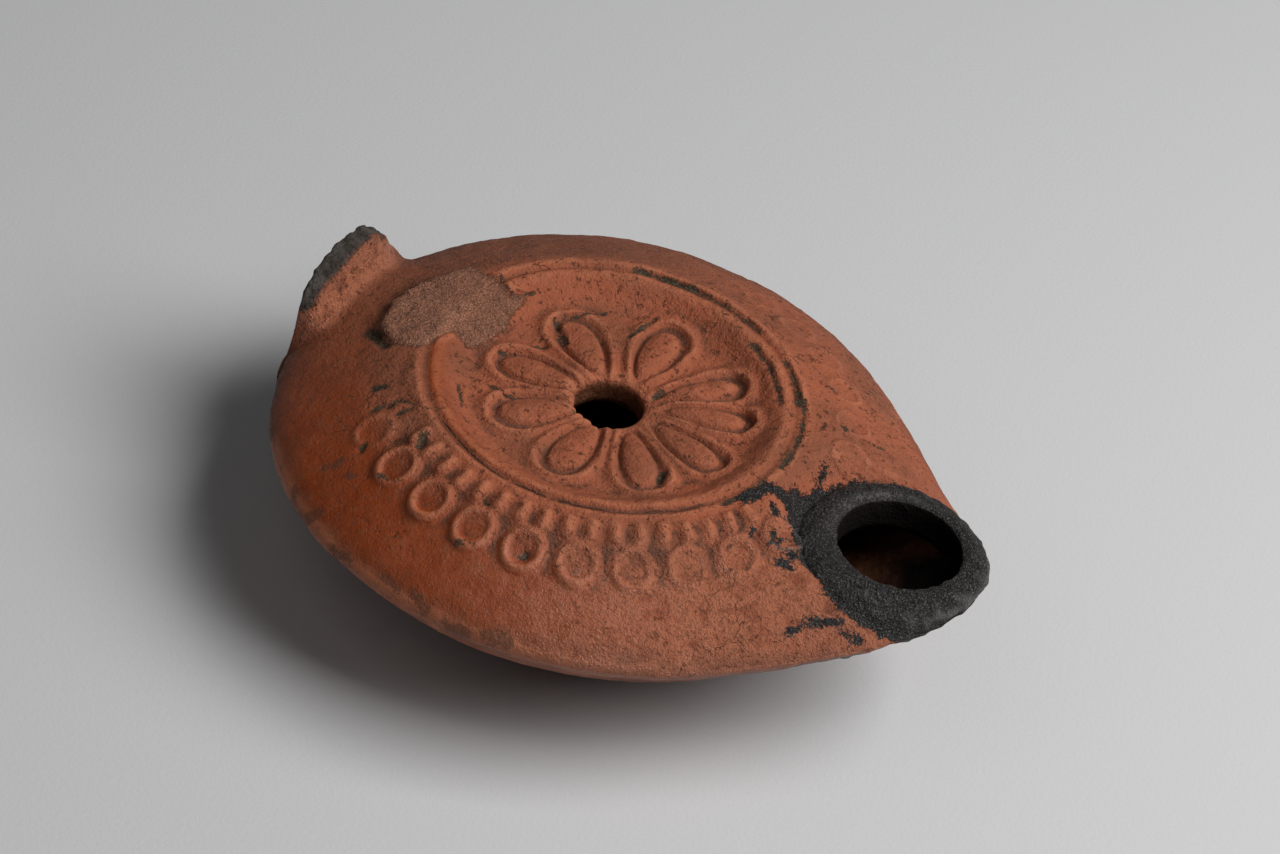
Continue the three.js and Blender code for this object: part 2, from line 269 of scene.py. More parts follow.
def addFan(mesh, row, centre, flip=False):
    # closes a ring of points with triangles to one centre
    pole = mesh["count"]
    mesh["points"].append(np.array([centre], float))
    mesh["count"] += 1
    fan = np.stack([row, np.full_like(row, pole), np.roll(row, -1)], -1)
    mesh["fans"].append(fan[:, ::-1] if flip else fan)


def halfColumns(side):
    # one side's bearings from the nozzle round to the handle, about the discus and about the collar: a
    # column stands on each corner where the seam meets an outline, and both share the seam's points
    inner, outer = cornerAngle(chamber["wall"], side), cornerAngle(0.0, side)
    bowlHalf = np.concatenate([
        np.linspace(0, inner, grid["seamHalf"] + 1),
        np.linspace(inner, outer, grid["gapHalf"] + 1)[1:],
        np.linspace(outer, np.pi, grid["bowlHalf"] + 1)[1:],
    ])
    onSeam = bowlHalf[: grid["seamHalf"] + grid["gapHalf"] + 1]
    # the same seam points about the collar, from half a turn down to the corner
    facing = np.arctan2(grid["seam"] * np.tan(onSeam), grid["seam"] - collar["x"])
    t = np.arange(grid["tipHalf"]) / grid["tipHalf"]
    tip = facing[-1] * t * (1 + grid["tipCrowd"] - grid["tipCrowd"] * t)
    return bowlHalf, np.concatenate([tip, facing[::-1]])


def columnAngles():
    # both sides' bearings joined into closed rings
    (bowlFar, collarFar), (bowlNear, collarNear) = halfColumns(1), halfColumns(-1)
    return np.concatenate([bowlFar, -bowlNear[-2:0:-1]]), np.concatenate([collarFar, -collarNear[-2:0:-1]])


def seamColumns(count, half):
    # True for the bowl's columns that end on the seam
    index = np.arange(count)
    return (index <= half) | (index >= count - half)


def seamIds(bowlIds, collarCount, half):
    # for the collar grid's last row: the bowl grid's point on the same place of the seam, or -1
    last = np.full(collarCount, -1)
    middle = grid["tipHalf"] + grid["seamHalf"] + grid["gapHalf"]  # the collar column that faces the discus
    step = np.arange(-half, half + 1)
    last[middle + step] = bowlIds[-1, -step]
    return last


def rimLoop(bowlIds, collarIds, half):
    # the widest line's points in order of bearing: nozzle, bowl, nozzle
    middle = grid["tipHalf"] + grid["seamHalf"] + grid["gapHalf"]
    upper = collarIds[-1, : middle - half]
    lower = collarIds[-1, middle + half + 1:]
    count = bowlIds.shape[1]
    return np.concatenate([upper, bowlIds[-1, half: count - half + 1], lower])


def stubShare(angle):
    # 1 on the columns that carry the handle's stub
    side = outlineRadius(angle) * np.abs(np.sin(angle))
    return np.where(np.cos(angle) < 0, 1 - smoothStep(*handle["halfWidth"], side), 0)


def shoulderGrid(angle, onSeam):
    # rows from the discus rim to the widest line; on the handle's columns they gather on its stub
    share = np.linspace(0, 1, grid["shoulderRows"] + 1)[1:, None]
    eased = share * (1 + grid["rowCrowd"] - grid["rowCrowd"] * share)
    end = np.where(onSeam, grid["seam"] / np.cos(angle), outlineRadius(angle))
    plain = bowl["shoulder"] + (end - bowl["shoulder"]) * eased
    onStub = stubShare(angle)
    t = np.clip((share - handle["rowShare"]) / (1 - handle["rowShare"]), 0, 1)
    # the stub's front is a plane across the lamp
    across = 1 / np.maximum(np.abs(np.cos(angle)), handle["leastCosine"])
    foot = handle["foot"] * across
    top = np.minimum(handle["top"] * across, handle["backEdge"] - handle["edgeGap"])
    before = bowl["shoulder"] + (foot - bowl["shoulder"]) * np.minimum(share / handle["rowShare"], 1)
    climb = np.clip(t / handle["frontShare"], 0, 1)
    onBreak = np.clip((t - handle["frontShare"]) / (handle["topShare"] - handle["frontShare"]), 0, 1)
    behind = np.clip((t - handle["topShare"]) / (1 - handle["topShare"]), 0, 1)
    radius = np.where(t > 0, foot + (top - foot) * climb, before)
    radius = radius + (handle["backEdge"] - top) * onBreak
    radius = radius + (end + handle["proud"] - handle["backEdge"]) * np.sqrt(behind)
    radius = plain + (radius - plain) * onStub
    x, y = radius * np.cos(angle), radius * np.sin(angle)
    swell = np.exp(-(((x + handle["swellAt"]) / handle["swellLong"]) ** 2) - (y / handle["swellWide"]) ** 2)
    z = topHeight(x, y) + handle["swell"] * swell * (1 - smoothStep(handle["swellFade"], 1, share))
    # the stub: a hollow face up to the broken edge, the sloping break, and a wall down to the widest line
    breakHeight = np.interp(y, *np.array(handle["front"], float).T)
    breakHeight = breakHeight + handle["breakSlope"] * (radius - handle["middle"])
    rise = climb ** handle["frontPower"] * (1 - smoothStep(0, 1, behind))
    z = z + np.maximum(breakHeight - z, 0) * rise * onStub
    return place(x, y, z)


def bowlGrid(angles, onSeam):
    # filling-hole wall, discus and shoulder, from the hole outward
    angle = angles[None, :]
    lip = spline([np.array(p, float) for p in discus["holeLip"]], grid["lipRows"])
    wall = place(lip[:, :1] * np.cos(angle), lip[:, :1] * np.sin(angle), lip[:, 1:])
    radius = np.linspace(lip[-1, 0], bowl["shoulder"], grid["dishRows"] + 1)[1:, None]
    x, y = radius * np.cos(angle), radius * np.sin(angle)
    return np.concatenate([wall, place(x, y, topHeight(x, y)), shoulderGrid(angle, onSeam)])


def collarEnd(angles, inset, half):
    # where each of the collar's columns ends in plan: on the seam line or on the outline
    middle = grid["tipHalf"] + grid["seamHalf"] + grid["gapHalf"]
    onSeam = np.abs(np.arange(len(angles)) - middle) <= half
    reach = np.where(onSeam, (grid["seam"] - collar["x"]) / np.cos(angles), rayToOutline(angles, inset))
    return collar["x"] + reach * np.cos(angles), reach * np.sin(angles), reach


def collarGrid(angles, seamHalf):
    # wick-hole wall, lip and outer wall of the collar, then the nozzle's shoulder, from the hole outward
    endX, endY, reach = collarEnd(angles, 0.0, seamHalf)
    ray = np.stack([np.cos(angles), np.sin(angles)], -1)
    footRadius = np.minimum(collar["foot"], reach - collar["tipGap"])
    foot = np.array([collar["x"], 0]) + ray * footRadius[:, None]
    footHeight = topHeight(foot[:, 0], foot[:, 1])
    innerX, innerY = collar["x"] + collar["inner"][0][0] * ray[:, 0], collar["inner"][0][0] * ray[:, 1]
    low = chamberHeight(innerX, innerY)
    lip, widest = collar["lipTop"], footRadius + collar["overhang"]
    section = [np.stack([np.full_like(low, r), low + (lip - low) * s], -1) for r, s in collar["inner"]]
    drop = footHeight - lip
    section += [np.stack([np.minimum(r, widest), lip + drop * s], -1) for r, s in collar["outer"]]
    section.append(np.stack([footRadius, footHeight], -1))
    rows = spline(section, grid["collarRows"])
    wall = place(collar["x"] + rows[..., 0] * ray[:, 0], rows[..., 0] * ray[:, 1], rows[..., 1])
    share = np.linspace(0, 1, grid["nozzleRows"] + 1)[1:, None]
    share = share * (1 + grid["rowCrowd"] - grid["rowCrowd"] * share)
    x, y = foot[:, 0] + (endX - foot[:, 0]) * share, foot[:, 1] + (endY - foot[:, 1]) * share
    return np.concatenate([wall, place(x, y, topHeight(x, y))])


def bellyGrid(edge, base, floor, rows, power):
    # from the widest line down and in to a flat round floor, on a power of cosine and sine
    r, angle = np.hypot(edge[:, 0], edge[:, 1]), np.arctan2(edge[:, 1], edge[:, 0])
    t = np.linspace(0, np.pi / 2, rows + 1)[:, None]
    radius = base + (r - base) * np.cos(t) ** power
    height = floor + (edge[:, 2] - floor) * (1 - np.sin(t) ** power)
    return place(radius * np.cos(angle), radius * np.sin(angle), height)


def chamberGrids(bowlAngles, collarAngles, innerHalf):
    # the ceiling over the bowl and over the nozzle, from each hole outward
    share = np.linspace(0, 1, grid["chamberRoofRows"] + 1)[:, None]
    hole = discus["holeLip"][0][0]
    onSeam = seamColumns(len(bowlAngles), innerHalf)
    end = np.where(onSeam, grid["seam"] / np.cos(bowlAngles), outlineRadius(bowlAngles, chamber["wall"]))
    radius = hole + (end - hole) * np.sin(share * np.pi / 2)
    x, y = radius * np.cos(bowlAngles), radius * np.sin(bowlAngles)
    endX, endY, _ = collarEnd(collarAngles, chamber["wall"], innerHalf)
    wick = collar["inner"][0][0]
    startX, startY = collar["x"] + wick * np.cos(collarAngles), wick * np.sin(collarAngles)
    u, v = startX + (endX - startX) * share, startY + (endY - startY) * share
    return place(x, y, chamberHeight(x, y)), place(u, v, chamberHeight(u, v))


def lampForm():
    # every sheet of the hollow lamp joined into one closed skin
    bowlAngles, collarAngles = columnAngles()
    outerHalf, innerHalf = grid["seamHalf"] + grid["gapHalf"], grid["seamHalf"]
    mesh = {"points": [], "quads": [], "fans": [], "count": 0}
    bowlIds = addGrid(mesh, bowlGrid(bowlAngles, seamColumns(len(bowlAngles), outerHalf)))
    collarPoints = collarGrid(collarAngles, outerHalf)
    collarIds = addGrid(mesh, collarPoints, lastRow=seamIds(bowlIds, len(collarAngles), outerHalf))
    edge = rimLoop(bowlIds, collarIds, outerHalf)
    widest = np.concatenate(mesh["points"])[edge]
    belly = bellyGrid(widest, bowl["base"], 0.0, grid["underRows"], bowl["underPower"])
    inward = np.array([bowl["hollowShare"], bowl["hollowShare"], 1])
    foot = belly[-1:] * inward + np.array([0, 0, bowl["baseHollow"]])
    bellyIds = addGrid(mesh, np.concatenate([belly, foot]), firstRow=edge)
    addFan(mesh, bellyIds[-1], (0, 0, bowl["baseHollow"]))
    outerCount = mesh["count"]
    roof, nozzleRoof = chamberGrids(bowlAngles, collarAngles, innerHalf)
    roofIds = addGrid(mesh, roof, firstRow=bowlIds[0], flip=True)
    inSeam = seamIds(roofIds, len(collarAngles), innerHalf)
    nozzleIds = addGrid(mesh, nozzleRoof, firstRow=collarIds[0], lastRow=inSeam, flip=True)
    edge = rimLoop(roofIds, nozzleIds, innerHalf)
    widest = np.concatenate(mesh["points"])[edge]
    floor = bellyGrid(widest, chamber["floorRadius"], chamber["wall"], grid["chamberFloorRows"],
                      chamber["power"])
    floorIds = addGrid(mesh, floor, firstRow=edge, flip=True)
    addFan(mesh, floorIds[-1], (0, 0, chamber["wall"]), flip=True)
    points = np.concatenate(mesh["points"])
    quads, fans = np.concatenate(mesh["quads"]), np.concatenate(mesh["fans"])
    used = np.unique(np.concatenate([quads.ravel(), fans.ravel()]))
    renumber = np.zeros(len(points), int)
    renumber[used] = np.arange(len(used))
    return points[used], renumber[quads], renumber[fans], used < outerCount


def pointNormals(points, quads, fans, least=1e-12):
    # unit normals: the sum of the faces' crossed diagonals at each point
    total = np.zeros_like(points)
    cross = np.cross(points[quads[:, 2]] - points[quads[:, 0]], points[quads[:, 3]] - points[quads[:, 1]])
    corner = np.cross(points[fans[:, 1]] - points[fans[:, 0]], points[fans[:, 2]] - points[fans[:, 0]])
    for faces, normal in ((quads, cross), (fans, corner)):
        for k in range(faces.shape[1]):
            np.add.at(total, faces[:, k], normal)
    return total / np.maximum(np.linalg.norm(total, axis=1, keepdims=True), least)


rosette = {
    "centre": (1.2, 0.6),
    # bearing of each petal in degrees and half the width of its outline
    "petals": [(145, 3.7), (95, 3.6), (49, 2.9), (23, 2.7), (-12, 3.2), (-49, 3.4), (-91, 3.6), (-132, 3.6),
               (-170, 3.4)],
    "start": 4.4, "fadeBefore": 0.8, "fadeAfter": 2, "tip": 16.4, "narrow": 0.9, "end": (19.0, 17.6),
    "ridge": 0.62, "ridgeWidth": 0.7, "leaf": 0.92, "leafPower": 0.6, "leafLeast": 0.2,
    "leafAt": 10.2, "leafLength": 4.7, "leafShare": 0.64, "leafMiddle": 0.88, "leafTaper": 0.25,
    "groove": 0.38, "grooveAt": 1.12, "grooveWidth": 0.16,  # place and width in shares of the leaf
}
frieze = {
    "rings": 10, "firstRing": 230.8, "ringStep": 12.4, "ringAt": 28.8, "ringRadius": 2.05, "ring": 0.8,
    "ringWidth": 0.44, "disc": 0.2, "discEdge": (0.4, 1.0), "farRings": 6, "farWear": 0.4,
    "firstWear": 0.45,
    "bars": 17, "firstBar": 239.2, "barStep": 6.2, "barAt": 25.0, "barLength": 1.2, "barWidth": 0.76,
    "bar": 0.95, "soft": 0.4, "end": 34,
}


def rosetteRelief(x, y):
    # nine petals: a looped ridge round each, a rounded leaf within it and a groove between the two
    dx, dy = x - rosette["centre"][0], y - rosette["centre"][1]
    ridges, leaves, grooves = np.zeros((3, *x.shape))
    fade = rosette["start"] - rosette["fadeBefore"], rosette["start"] + rosette["fadeAfter"]
    for degrees, wide in rosette["petals"]:
        c, s = math.cos(math.radians(degrees)), math.sin(math.radians(degrees))
        along, across = dx * c + dy * s, np.abs(dy * c - dx * s)
        bend = rosette["tip"] - wide
        opening = np.clip((along - rosette["start"]) / (bend - rosette["start"]), 0, 1)
        half = rosette["narrow"] + (wide - rosette["narrow"]) * np.sin(opening * np.pi / 2)
        fromLoop = np.where(along < bend, across - half, np.hypot(along - bend, across) - wide)
        grown = smoothStep(*fade, along)
        ridges = np.maximum(ridges, np.exp(-(fromLoop / rosette["ridgeWidth"]) ** 2) * grown)
        share = (along - rosette["leafAt"]) / rosette["leafLength"]
        taper = wide * rosette["leafShare"] * (rosette["leafMiddle"] + rosette["leafTaper"] * share)
        oval = share**2 + (across / np.maximum(taper, rosette["leafLeast"])) ** 2
        leaves = np.maximum(leaves, np.clip(1 - oval, 0, 1) ** rosette["leafPower"])
        fromGroove = (np.sqrt(oval) - rosette["grooveAt"]) / rosette["grooveWidth"]
        grooves = np.maximum(grooves, np.exp(-(fromGroove**2)) * grown)
    raised = np.maximum(rosette["ridge"] * ridges, rosette["leaf"] * leaves)
    return raised - rosette["groove"] * grooves * (leaves == 0)


def ringRelief(x, y, degrees, wear):
    # raised rings round a low disc, at these bearings on the shoulder, each lowered by its wear
    relief = np.zeros_like(x)
    rim, core = (frieze["ringRadius"] - inset for inset in frieze["discEdge"])
    for bearing, left in zip(np.radians(degrees), wear):
        r = np.hypot(x - frieze["ringAt"] * np.cos(bearing), y - frieze["ringAt"] * np.sin(bearing))
        ridge = frieze["ring"] * np.exp(-((r - frieze["ringRadius"]) / frieze["ringWidth"]) ** 2)
        disc = frieze["disc"] * smoothStep(rim, core, r)
        relief += left * (ridge + disc)
    return relief


def barRelief(x, y):
    # a row of short upright bars next to the discus rim
    r, bearing = np.hypot(x, y), np.degrees(np.arctan2(y, x)) % 360
    turn = (bearing - frieze["firstBar"]) / frieze["barStep"]
    nearest = np.clip(np.round(turn), 0, frieze["bars"] - 1)
    aside = np.radians((turn - nearest) * frieze["barStep"]) * r
    long, soft = frieze["barLength"], frieze["soft"]
    ends = smoothStep(long + soft, long - soft, np.abs(r - frieze["barAt"]))
    return frieze["bar"] * np.exp(-(aside / frieze["barWidth"]) ** 2) * ends


surface = {
    "wobble": 0.16, "wobbleCell": 15.0, "dents": 0.13, "dentsCell": 4.2, "grain": 0.1, "grainCell": 1.1,
    "scarGrain": 0.22, "sootGrain": 0.14, "wornGrain": 0.1,
    "slipSmooth": 0.65, "insideSmooth": 0.6,  # shares of the grain that are lost
    "fineCell": 1.3, "wearCell": 3.4, "reliefLeft": 0.85, "reliefSwing": 0.3,
    "groove": 21.7, "grooveWander": 0.3, "grooveCell": 4.0, "crack": 0.2, "crackWidth": 0.26,
    # where the crack along the groove stands open: bearings in degrees, then noise
    "openFrom": (-132, -118), "openTo": (-20, -40), "openCell": 6.0, "openRarity": (0.25, 0.5),
    "pits": 0.25, "pitRarity": (0.42, 0.62), "pitLeast": 0.35, "pitWorn": 0.65,
    "chip": 0.3, "chipEdge": (-0.15, 0.3), "chipWander": 0.3, "sootFill": 0.6,
    "edge": 0.3,  # half width of the change at the edges of the scar and the soot
    "top": (17.2, 18.6), "foot": (0.4, 3.0),  # heights where the carving and the unevenness begin
    "stub": (-31.0, -29.0), "blurs": 6, "softens": 2,
}
stains = {
    "sootReach": 12.0, "farReach": 11.1, "backReach": 1.3,
    "tongue": (34.0, -10.0, 1.6, 1.0),  # clean clay that bites into the soot: x, y, radius, depth
    # arcs of black dirt along the discus rim: radius, two bearings in degrees, half width
    "arcs": [(22.0, 92, 112, 0.42), (22.0, 66, 94, 0.2), (19.9, 30, 62, 0.32), (22.2, 30, 50, 0.3),
             (22.6, 0, 32, 0.42), (22.6, -26, -10, 0.45)],
    # strokes of loose soot: from x, y to x, y, and half width
    "soot": [(21.6, -7.6, 23.6, -3.6, 0.7), (23.6, -3.6, 26.2, -2.6, 0.85), (26.2, -2.6, 28.4, -0.8, 0.9),
             (26.6, -6.2, 28.6, -4.6, 0.55), (27.0, -10.6, 29.4, -6.6, 0.32),
             (25.6, -6.5, 24.5, -5.6, 0.45), (27.1, -4.7, 25.5, -3.2, 0.6), (25.6, -1.5, 25.3, -0.2, 0.5),
             (27.7, -10.2, 26.6, -9.4, 0.45), (29.7, -8.9, 29.6, -7.4, 0.6),
             (29.0, -10.4, 30.2, -9.8, 0.35), (29.0, -11.7, 30.5, -11.5, 0.4),
             (24.9, -11.1, 24.8, -10.4, 0.42), (34.0, -17.3, 35.5, -15.1, 0.42),
             (35.5, -15.1, 38.1, -12.9, 0.55), (38.7, -13.7, 40.8, -13.0, 0.5),
             (27.0, 1.1, 26.4, 1.4, 0.45), (26.3, 3.2, 26.0, 5.3, 0.35)],
    # strokes of dark dirt in flakes, cracks and chips
    "marks": [(-18.9, -18.7, -18.4, -17.4, 0.35), (-18.4, -17.4, -16.3, -17.3, 0.35),
              (-17.2, -19.3, -16.0, -18.2, 0.3), (-20.4, -19.7, -19.3, -18.6, 0.3),
              (-22.2, -16.6, -21.1, -16.0, 0.4), (-12.1, -22.6, -12.3, -21.5, 0.4),
              (-12.3, -21.5, -11.9, -20.7, 0.2), (-18.3, -24.9, -18.2, -24.4, 0.42),
              (-8.5, -32.8, -7.8, -32.1, 0.2), (-14.0, -27.5, -12.0, -27.7, 0.2),
              (-1.8, -31.0, 0.3, -30.4, 0.18), (5.9, -29.2, 5.9, -28.6, 0.42),
              (-1.8, -25.6, -0.9, -25.9, 0.25), (-12.2, -6.8, -9.8, -7.4, 0.17),
              (-9.8, -7.4, -7.4, -5.6, 0.17), (-7.4, -5.6, -4.9, -5.0, 0.16),
              (-4.9, -5.0, -1.9, -4.2, 0.14), (-14.7, -9.9, -12.7, -12.5, 0.15),
              (3.9, 4.2, 4.1, 5.5, 0.35), (5.1, 3.3, 7.8, 6.1, 0.14), (11.6, -8.5, 11.5, -7.2, 0.42),
              (7.8, 25.5, 8.8, 24.4, 0.25), (18.8, 17.4, 20.9, 17.7, 0.18), (27.1, 13.2, 30.8, 15.2, 0.16),
              (22.9, 9.7, 22.9, 10.9, 0.25), (24.3, 12.9, 24.9, 12.4, 0.28), (-12.2, 8.3, -9.1, 5.5, 0.35),
              (-11.9, 9.4, -8.2, 13.5, 0.2), (-3.8, 11.5, -2.9, 16.2, 0.35),
              (-28.6, -7.4, -25.2, -9.5, 0.6), (-20.5, 8.6, -18.9, 7.4, 0.2),
              (-18.9, 7.4, -17.4, 7.2, 0.22), (-17.4, 7.2, -16.2, 9.6, 0.25),
              (-11.8, 2.6, -10.8, 3.6, 0.35), (-14.5, -1.0, -13.9, -0.4, 0.35)],
    # strokes of brown stain
    "rust": [(-20.0, -27.5, -19.7, -26.7, 0.55), (-21.0, -27.9, -20.8, -27.6, 0.4),
             (-17.8, -28.2, -17.1, -28.2, 0.5), (-19.3, -33.2, -18.6, -32.8, 0.75),
             (-22.6, -31.4, -23.1, -30.4, 0.4), (-22.8, -31.6, -19.6, -33.6, 0.3),
             (-14.7, -35.5, -11.8, -36.2, 0.35), (-7.0, -36.6, -4.6, -37.2, 0.4),
             (-3.4, -36.9, -0.7, -37.6, 0.4), (1.6, -37.7, 4.8, -37.4, 0.35),
             (6.0, -36.9, 9.2, -36.2, 0.4)],
    "away": -3.0, "deepest": 3.0,  # depths that mean nowhere near and well within
}
zones = {
    "edgeCell": 2.6, "patchCell": 9.0, "top": 16.0,
    # patches of a finish: bearing and width in degrees, radii where it begins, and share
    "worn": (-36, 26, 24.0, 27.5, 0.9), "slip": (-101, 35, 26.0, 30.5, 1.3),
    "aged": (168, 40, 22.5, 26.0, 0.9), "agedFar": (105, 22, 22.5, 26.0, 0.9),
    "farShare": 0.25, "swing": 0.5,
    "rimSlip": (-145, 36), "rimSlipAt": 20.6, "rimSlipWide": 1.3,
    "sootSides": (4.0, -2.0), "sootBack": (-168, 30), "sootWander": 0.5,
    "sootFoot": (15.0, 11.0), "sootFade": 4.0,
    "wickGap": 0.1, "lipGap": 0.3, "fillingWall": (23.9, 23.0), "fillingRadius": 4.5,
    # the stub's break and its hollow front: heights, and places along the lamp towards the handle
    "breakHeight": (22.6, 23.9), "breakFront": (35.0, 36.0), "breakBack": (36.3, 37.1), "breakDrop": 1.3,
    "edgeShare": 0.75, "backShare": 0.6, "faceFront": (33.2, 35.0), "faceHeight": (21.0, 23.5),
    # heights over which painted shade darkens the belly, and how far noise moves that band
    "under": (20.6, 17.6), "underWander": 0.8,
    # about the collar: a strip of its lip, partly rubbed and partly painted highlight, and the wall of the
    # wick hole, sooted and darkened further as painted shade
    "lipRubAndHighlight": (148, 34), "lipHighlightAt": 8.1, "lipHighlightWide": 0.75,
    "wickSootAndShade": (9.5, 7.0), "wickSootAndShadeHeight": (12.0, 16.0),
}


def lobe(bearing, centre, width):
    # a bell round the lamp: 1 at one bearing, falling off over a width, all in degrees
    return np.exp((np.cos(np.radians(bearing - centre)) - 1) / math.radians(width) ** 2)


def strokeDepth(x, y, strokes):
    # how far inside the nearest stroke a place lies: its half width less the distance to its line
    depth = np.full_like(x, stains["away"])
    for x1, y1, x2, y2, half in strokes:
        ex, ey = x2 - x1, y2 - y1
        along = np.clip(((x - x1) * ex + (y - y1) * ey) / (ex * ex + ey * ey), 0, 1)
        depth = np.maximum(depth, half - np.hypot(x - x1 - ex * along, y - y1 - ey * along))
    return depth


def arcDepth(r, bearing, arcs):
    # the same for arcs about the discus
    depth = np.full_like(r, stains["away"])
    for radius, low, high, half in arcs:
        past = np.radians(bearing - np.clip(bearing, low, high)) * radius
        depth = np.maximum(depth, half - np.hypot(r - radius, past))
    return depth


def patchShare(bearing, r, broad, patch):
    # a bell round one bearing, outside a radius, broken up by broad noise
    centre, width, low, high, share = patch
    return lobe(bearing, centre, width) * smoothStep(low, high, r) * (share + zones["swing"] * broad)


def sootDepth(x, y, z, fromCollar, facing, middle):
    # how far inside the soot a place lies: its reach about the collar less the distance, or a loose stroke
    near = smoothStep(*zones["sootSides"], y)
    reach = stains["farReach"] + (stains["sootReach"] - stains["farReach"]) * near
    reach = reach + stains["backReach"] * lobe(facing, *zones["sootBack"])
    tongueX, tongueY, tongueRadius, tongueDepth = stains["tongue"]
    reach = reach - tongueDepth * np.exp(-((x - tongueX) ** 2 + (y - tongueY) ** 2) / tongueRadius**2)
    soot = np.maximum(reach + zones["sootWander"] * middle - fromCollar, strokeDepth(x, y, stains["soot"]))
    return soot - zones["sootFade"] * smoothStep(*zones["sootFoot"], z)


def breakShare(x, y, z, r):
    # the stub's break: rises to edgeShare at its front edge, and by backShare more on the break itself
    height = np.interp(y, *np.array(handle["front"], float).T)
    height = height + handle["breakSlope"] * (r - handle["middle"])
    onStub = (x < 0) * smoothStep(*zones["breakHeight"], z) * smoothStep(*zones["breakFront"], -x)
    edge = zones["edgeShare"] * smoothStep(-zones["breakDrop"], 0, z - height)
    return onStub * (edge + zones["backShare"] * smoothStep(*zones["breakBack"], -x))


def lampFields(points, outer):
    # where each finish lies: depths in millimetres, positive inside, and shares from 0 to 1
    x, y, z = points.T
    r, bearing = np.hypot(x, y), np.degrees(np.arctan2(y, x))
    fromCollar, facing = np.hypot(x - collar["x"], y), np.degrees(np.arctan2(y, x - collar["x"]))
    middle = roughNoise(points, zones["edgeCell"], seeds["edges"])
    broad = roughNoise(points, zones["patchCell"], seeds["patches"])
    away, deepest = stains["away"], stains["deepest"]
    onTop = (z > zones["top"]) & outer
    soot = np.where(outer, sootDepth(x, y, z, fromCollar, facing, middle), away)
    marks = np.maximum(strokeDepth(x, y, stains["marks"]), arcDepth(r, bearing, stains["arcs"]))
    snapped = breakShare(x, y, z, r)
    face = smoothStep(*zones["faceFront"], -x) * smoothStep(*zones["faceHeight"], z)
    face = face * (1 - np.clip(snapped, 0, 1))
    worn = patchShare(bearing, r, broad, zones["worn"]) + face
    fromRim = (r - zones["rimSlipAt"]) / zones["rimSlipWide"]
    rimSlip = lobe(bearing, *zones["rimSlip"]) * np.exp(-fromRim ** 2)
    slip = patchShare(bearing, r, broad, zones["slip"]) + rimSlip
    aged = patchShare(bearing, r, broad, zones["aged"])
    aged = aged + zones["farShare"] * patchShare(bearing, r, broad, zones["agedFar"])
    inFilling = smoothStep(*zones["fillingWall"], z) * (r < zones["fillingRadius"])
    wickRadius = collar["inner"][2][0] + zones["wickGap"]
    inWick = (fromCollar < wickRadius) & (z < collar["lipTop"] - zones["lipGap"])
    wander = surface["grooveWander"] * latticeNoise(points, surface["grooveCell"], seeds["groove"])
    # a grey strip along the lip's far side: partly rubbed, partly painted highlight
    fromLip = (fromCollar - zones["lipHighlightAt"]) / zones["lipHighlightWide"]
    lipRubAndHighlight = lobe(facing, *zones["lipRubAndHighlight"]) * np.exp(-fromLip ** 2)
    # the wick hole's wall: soot, darkened further as painted shade
    wickSootAndShade = smoothStep(*zones["wickSootAndShade"], fromCollar) * smoothStep(*zones["wickSootAndShadeHeight"], z)
    return {
        "soot": np.clip(soot, away, deepest),
        "scar": np.where(onTop, np.clip(scarDepth(x, y), away, deepest), away),
        "dirt": np.where(onTop, marks, away),
        "rust": np.where(onTop, strokeDepth(x, y, stains["rust"]), away),
        "groove": np.where(onTop, r - surface["groove"] - wander, away),
        "snapped": snapped * outer,
        "worn": np.clip(worn, 0, 1) * onTop,
        "slip": np.clip(slip, 0, 1) * outer,
        "aged": np.clip(aged, 0, 1) * outer,
        "under": smoothStep(*zones["under"], z + zones["underWander"] * middle) * outer,
        "inside": np.where(outer, np.maximum(inFilling, inWick), 1.0),
        "lipRubAndHighlight": lipRubAndHighlight * onTop,
        "wickSootAndShade": wickSootAndShade,
    }


def grooveOpening(bearing, points):
    # 1 where the crack along the discus groove stands open: most of the near side, and by noise elsewhere
    near = smoothStep(*surface["openFrom"], bearing) * smoothStep(*surface["openTo"], bearing)
    noise = latticeNoise(points, surface["openCell"], seeds["opening"])
    return np.clip(near + smoothStep(*surface["openRarity"], noise), 0, 1)


def friezeRelief(x, y):
    # both rows of the near side and the worn rings of the far side
    bearings = frieze["firstRing"] + frieze["ringStep"] * np.arange(frieze["rings"])
    wear = np.ones(frieze["rings"])
    wear[0] = frieze["firstWear"]
    farWear = np.full(frieze["farRings"], frieze["farWear"])
    rings = ringRelief(x, y, bearings, wear) + ringRelief(x, y, -bearings[-frieze["farRings"]:], farWear)
    return rings + barRelief(x, y)


